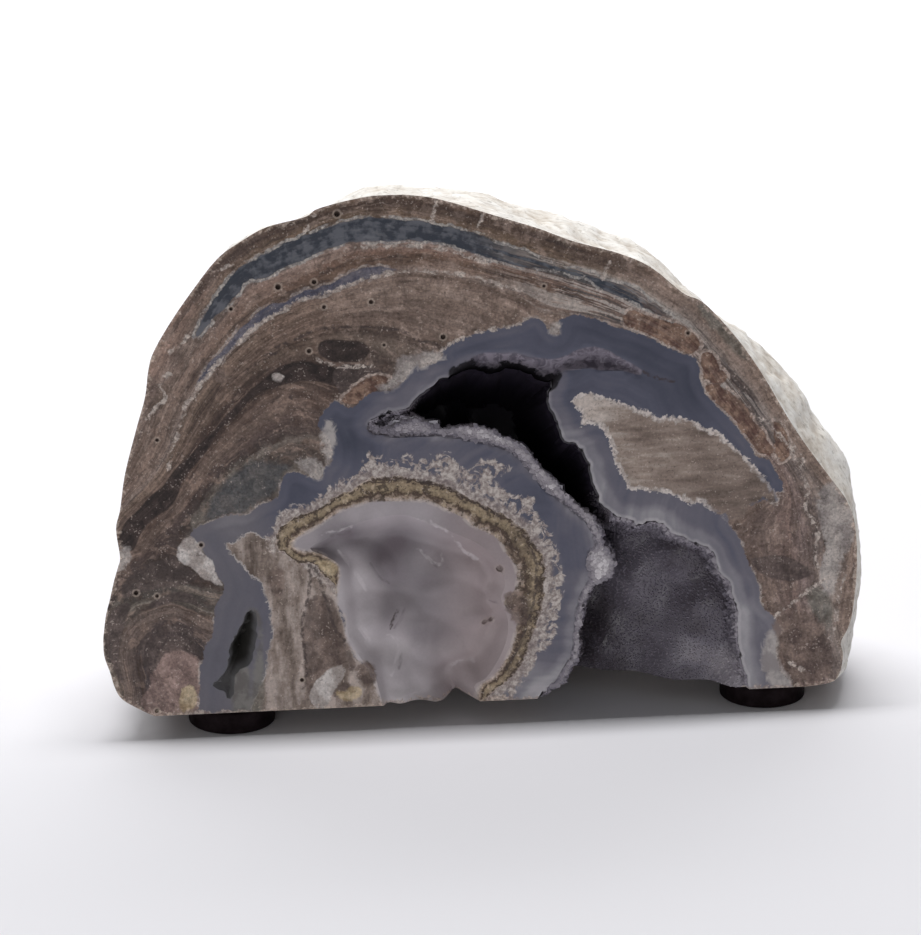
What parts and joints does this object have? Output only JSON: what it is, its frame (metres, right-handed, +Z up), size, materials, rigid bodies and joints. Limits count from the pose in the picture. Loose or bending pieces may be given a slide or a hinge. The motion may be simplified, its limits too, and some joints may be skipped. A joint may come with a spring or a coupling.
{
  "type": "geode half",
  "caption": "Half of a banded rock nodule with agate lining and crystal hollows, sawn flat and polished in front, sawn flat below, standing on low round rubber feet.",
  "frame": {"origin": "under the middle of the whole object's box, on the surface that it stands on", "axes": "+X to the right along the polished face, +Y from the face into the stone, +Z up; the polished face looks towards -Y and leans back 4 degrees"},
  "size_m": [0.1134, 0.0482, 0.0792],
  "materials": {
    "stone": "polished on the sawn face, rough and pale on the rind",
    "quartz": "small sparkling crystals",
    "rubber": "matt"
  },
  "bodies": {
    "root": {"nodule": "stone", "quartz_crust": "quartz", "foot_front_left": "rubber", "foot_front_right": "rubber", "foot_back": "rubber"}
  },
  "joints": []
}
